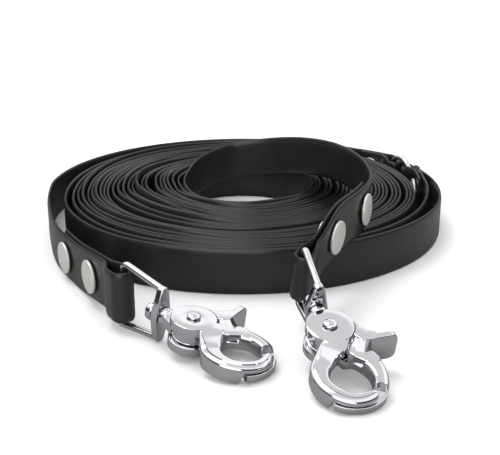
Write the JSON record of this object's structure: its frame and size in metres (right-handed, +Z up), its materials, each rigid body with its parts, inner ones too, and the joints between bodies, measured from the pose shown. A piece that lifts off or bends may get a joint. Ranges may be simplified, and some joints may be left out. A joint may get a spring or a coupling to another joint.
{
  "type": "training leash",
  "caption": "Flat coated webbing training leash wound on edge into a coil, with a hand strap joined by a riveted O-ring and a scissor swivel snap hook on each end.",
  "frame": {"origin": "bottom centre of the bounding box, on the surface the coil lies on", "axes": "+Z up out of the surface, +Y from the snap hooks towards the far side of the coil, +X to the right as seen from the hooks"},
  "size_m": [0.1902, 0.2836, 0.0389],
  "materials": {
    "webbing": "black coated webbing, satin",
    "rivets": "satin nickel",
    "hook_chrome": "polished",
    "spring_steel": "drawn wire"
  },
  "bodies": {
    "coiled_straps": {"hand_strap": "webbing", "long_strap_outer_turns": "webbing", "long_strap_coil": "webbing", "long_strap_inner_lead": "webbing", "hand_hook_rivet_1_cap": "rivets", "hand_hook_rivet_1_back": "rivets", "hand_hook_rivet_2_cap": "rivets", "hand_hook_rivet_2_back": "rivets", "ring_rivet_hand_side_cap": "rivets", "ring_rivet_hand_side_back": "rivets", "ring_rivet_long_side_cap": "rivets", "ring_rivet_long_side_back": "rivets", "long_hook_rivet_1_cap": "rivets", "long_hook_rivet_1_back": "rivets", "long_hook_rivet_2_cap": "rivets", "long_hook_rivet_2_back": "rivets"},
    "o_ring": {"o_ring": "hook_chrome"},
    "hand_hook_loop": {"hand_hook_loop": "hook_chrome"},
    "hand_hook_stud": {"hand_hook_swivel_stud": "hook_chrome", "hand_hook_pivot_rivet": "hook_chrome", "hand_hook_jaw_spring": "spring_steel"},
    "hand_hook_upper_jaw": {"hand_hook_upper_jaw": "hook_chrome"},
    "hand_hook_lower_jaw": {"hand_hook_lower_jaw": "hook_chrome"},
    "long_hook_loop": {"long_hook_loop": "hook_chrome"},
    "long_hook_stud": {"long_hook_swivel_stud": "hook_chrome", "long_hook_pivot_rivet": "hook_chrome", "long_hook_jaw_spring": "spring_steel"},
    "long_hook_upper_jaw": {"long_hook_upper_jaw": "hook_chrome"},
    "long_hook_lower_jaw": {"long_hook_lower_jaw": "hook_chrome"}
  },
  "joints": [
    {"name": "o_ring_spin", "type": "hinge", "parent": "coiled_straps", "child": "o_ring", "pos_m": [0.08213, 0.07567, 0.0124], "axis": [0.9367, 0.3502, 0], "continuous": true},
    {"name": "hand_hook_swing", "type": "hinge", "parent": "coiled_straps", "child": "hand_hook_loop", "pos_m": [-0.04251, -0.08218, 0.014], "axis": [0.1368, -0.1012, 0.9854], "range_deg": [-70, 0]},
    {"name": "hand_hook_swivel", "type": "hinge", "parent": "hand_hook_loop", "child": "hand_hook_stud", "pos_m": [-0.02778, -0.09308, 0.01083], "axis": [0.7921, -0.5861, -0.1702], "continuous": true},
    {"name": "hand_hook_upper_jaw_opens", "type": "hinge", "parent": "hand_hook_stud", "child": "hand_hook_upper_jaw", "pos_m": [-0.01645, -0.10146, 0.0084], "axis": [-0.1368, 0.1012, -0.9854], "range_deg": [0, 24], "stiffness_Nm_per_rad": 0.02, "springref_deg": -28.65},
    {"name": "hand_hook_lower_jaw_opens", "type": "hinge", "parent": "hand_hook_stud", "child": "hand_hook_lower_jaw", "pos_m": [-0.01645, -0.10146, 0.0084], "axis": [-0.1368, 0.1012, -0.9854], "range_deg": [-24, 0]},
    {"name": "long_hook_swing", "type": "hinge", "parent": "coiled_straps", "child": "long_hook_loop", "pos_m": [0.02079, -0.08138, 0.0203], "axis": [0.062, -0.2686, 0.9613], "range_deg": [0, 45]},
    {"name": "long_hook_swivel", "type": "hinge", "parent": "long_hook_loop", "child": "long_hook_stud", "pos_m": [0.02481, -0.0988, 0.01517], "axis": [0.2162, -0.9366, -0.2756], "range_deg": [-120, 145]},
    {"name": "long_hook_upper_jaw_opens", "type": "hinge", "parent": "long_hook_stud", "child": "long_hook_upper_jaw", "pos_m": [0.0279, -0.11219, 0.01123], "axis": [-0.062, 0.2686, -0.9613], "range_deg": [0, 24], "stiffness_Nm_per_rad": 0.02, "springref_deg": -28.65},
    {"name": "long_hook_lower_jaw_opens", "type": "hinge", "parent": "long_hook_stud", "child": "long_hook_lower_jaw", "pos_m": [0.0279, -0.11219, 0.01123], "axis": [-0.062, 0.2686, -0.9613], "range_deg": [-24, 0]}
  ],
  "couplings": [
    {"joint": "hand_hook_lower_jaw_opens", "follows": "hand_hook_upper_jaw_opens", "ratio": -1},
    {"joint": "long_hook_lower_jaw_opens", "follows": "long_hook_upper_jaw_opens", "ratio": -1}
  ]
}
